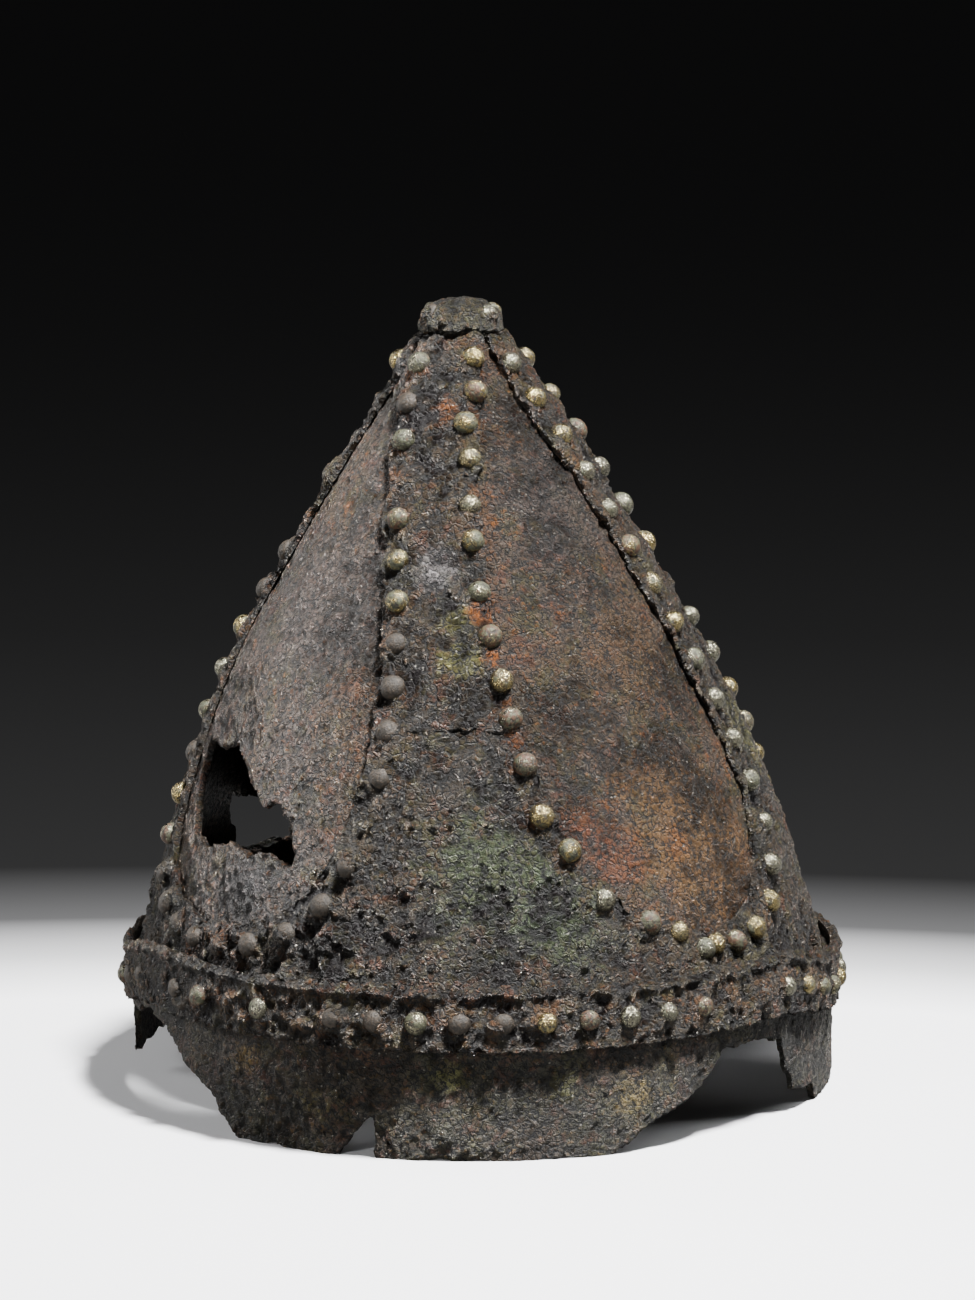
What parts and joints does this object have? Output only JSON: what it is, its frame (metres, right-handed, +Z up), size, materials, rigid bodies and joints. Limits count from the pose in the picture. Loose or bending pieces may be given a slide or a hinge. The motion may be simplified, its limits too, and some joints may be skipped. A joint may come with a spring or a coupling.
{
  "type": "riveted iron helmet",
  "caption": "Pointed iron helmet of curved plates under riveted flaring bands, with a brow strip, a broken rim skirt and a small domed cap, corroded and holed.",
  "frame": {"origin": "centre of the helmet's outline on the surface that the rim rests on", "axes": "-Y to the front, +X to the wearer's left, +Z up to the point of the bowl"},
  "size_m": [0.2077, 0.2265, 0.2214],
  "materials": {
    "plate_iron": "corroded, mottled brown and grey with small glints",
    "band_iron": "crusted, pitted, with traces of green",
    "brow_iron": "crusted, with orange rust on some rivets",
    "rim_iron": "pitted sheet with yellow-green spots",
    "cap_metal": "corroded, bronze green"
  },
  "bodies": {
    "root": {"plate_front_right": "plate_iron", "plate_back_right": "plate_iron", "plate_back_left": "plate_iron", "plate_front_left": "plate_iron", "strip_front": "band_iron", "strip_right": "band_iron", "strip_back": "band_iron", "strip_left": "band_iron", "base_front": "band_iron", "base_right": "band_iron", "base_back": "band_iron", "base_left": "band_iron", "brow_strip": "brow_iron", "rim": "rim_iron", "cap": "cap_metal"}
  },
  "joints": []
}
